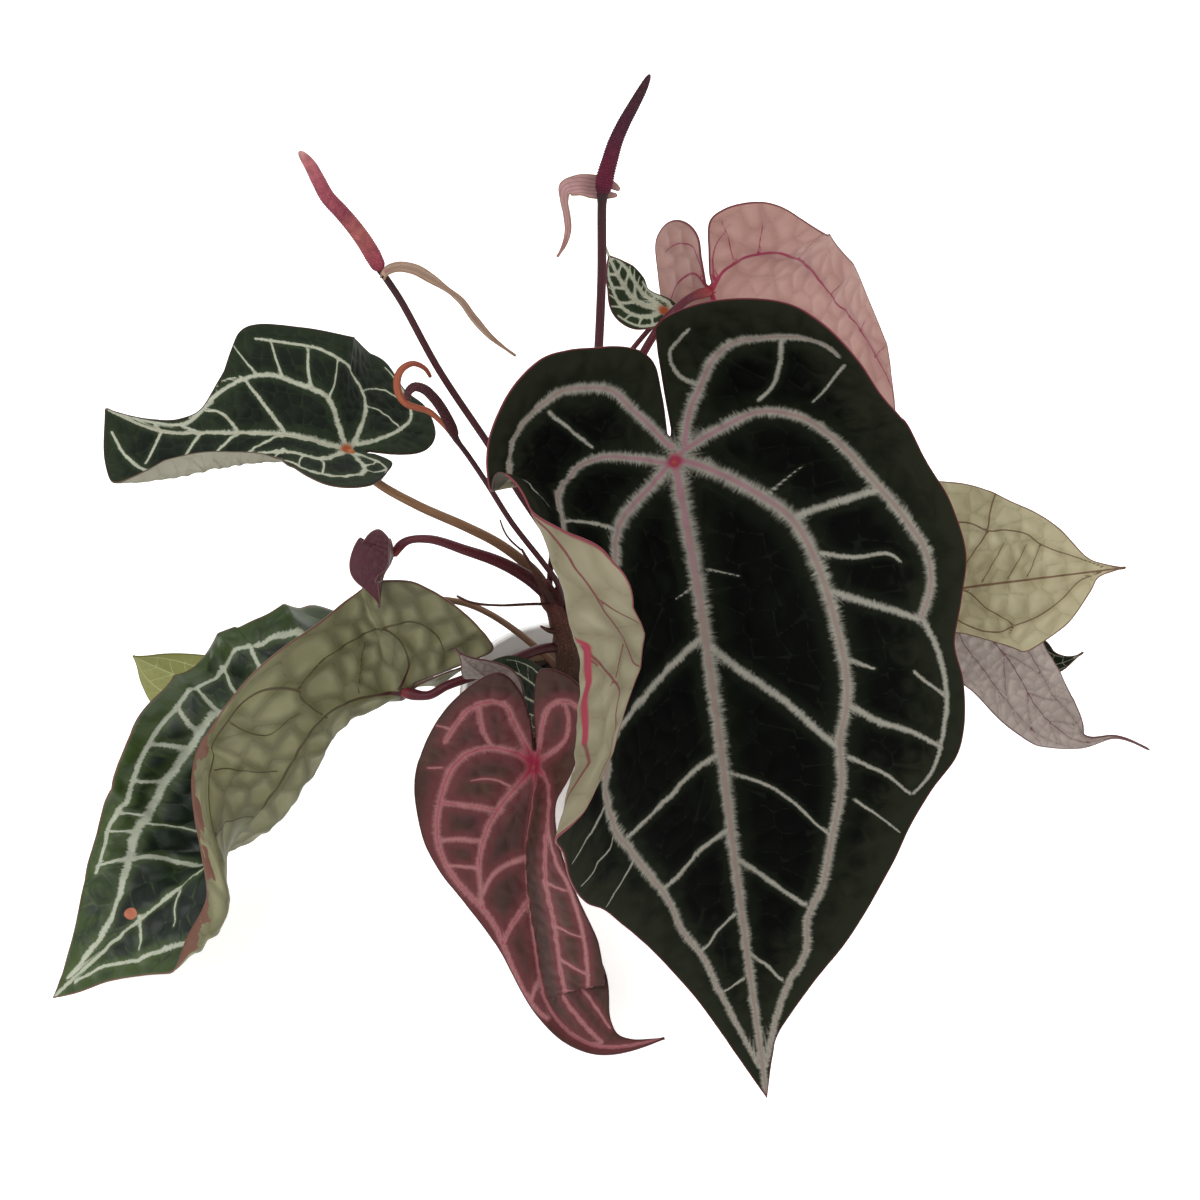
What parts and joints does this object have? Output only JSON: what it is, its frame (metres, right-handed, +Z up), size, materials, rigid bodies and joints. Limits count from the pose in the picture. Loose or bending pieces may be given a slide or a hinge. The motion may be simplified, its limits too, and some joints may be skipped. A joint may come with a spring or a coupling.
{
  "type": "potted anthurium",
  "caption": "House plant with large heart-shaped, pale-veined velvet leaves on long stalks, thin upright flower spikes and a short stem in a nursery pot inside a plain round outer pot.",
  "frame": {"origin": "centre of the outer pot's base, on the surface it stands on", "axes": "+Z up along the pot's axis, -Y towards the front where the largest leaf hangs, +X to the right seen from the front"},
  "size_m": [0.7167, 0.4213, 0.5317],
  "materials": {
    "glazed_pot": "gloss",
    "nursery_pot": "matte",
    "bark": "rough",
    "stem": "matte",
    "dark_blade": "velvet",
    "green_blade": "velvet",
    "red_blade": "velvet",
    "pink_blade": "satin",
    "pale_blade": "satin",
    "grey_blade": "satin",
    "red_stalk": "satin",
    "tan_stalk": "satin",
    "spadix": "matte",
    "spathe": "satin",
    "dry_sheath": "matte"
  },
  "bodies": {
    "root": {"outer_pot": "glazed_pot", "nursery_pot": "nursery_pot", "bark_soil": "bark", "stem": "stem", "great_leaf": "dark_blade", "great_petiole": "red_stalk", "left_leaf": "green_blade", "left_petiole": "red_stalk", "red_leaf": "red_blade", "red_petiole": "red_stalk", "upper_leaf": "dark_blade", "upper_petiole": "tan_stalk", "pink_leaf": "pink_blade", "pink_petiole": "red_stalk", "pale_leaf": "pale_blade", "pale_petiole": "red_stalk", "grey_leaf": "grey_blade", "grey_petiole": "red_stalk", "small_leaf": "dark_blade", "small_petiole": "red_stalk", "maroon_leaf": "red_blade", "maroon_petiole": "red_stalk", "curled_leaf": "pale_blade", "curled_petiole": "red_stalk", "yellow_leaf": "pale_blade", "yellow_petiole": "tan_stalk", "front_leaf": "grey_blade", "front_petiole": "red_stalk", "left_peduncle": "red_stalk", "left_spadix": "spadix", "left_spathe": "spathe", "middle_peduncle": "red_stalk", "middle_spadix": "spadix", "middle_spathe": "spathe", "short_peduncle": "red_stalk", "short_spadix": "spadix", "short_spathe": "spathe", "tall_sheath": "dry_sheath", "low_sheath": "dry_sheath", "long_thread": "dry_sheath", "fine_thread": "dry_sheath"}
  },
  "joints": []
}
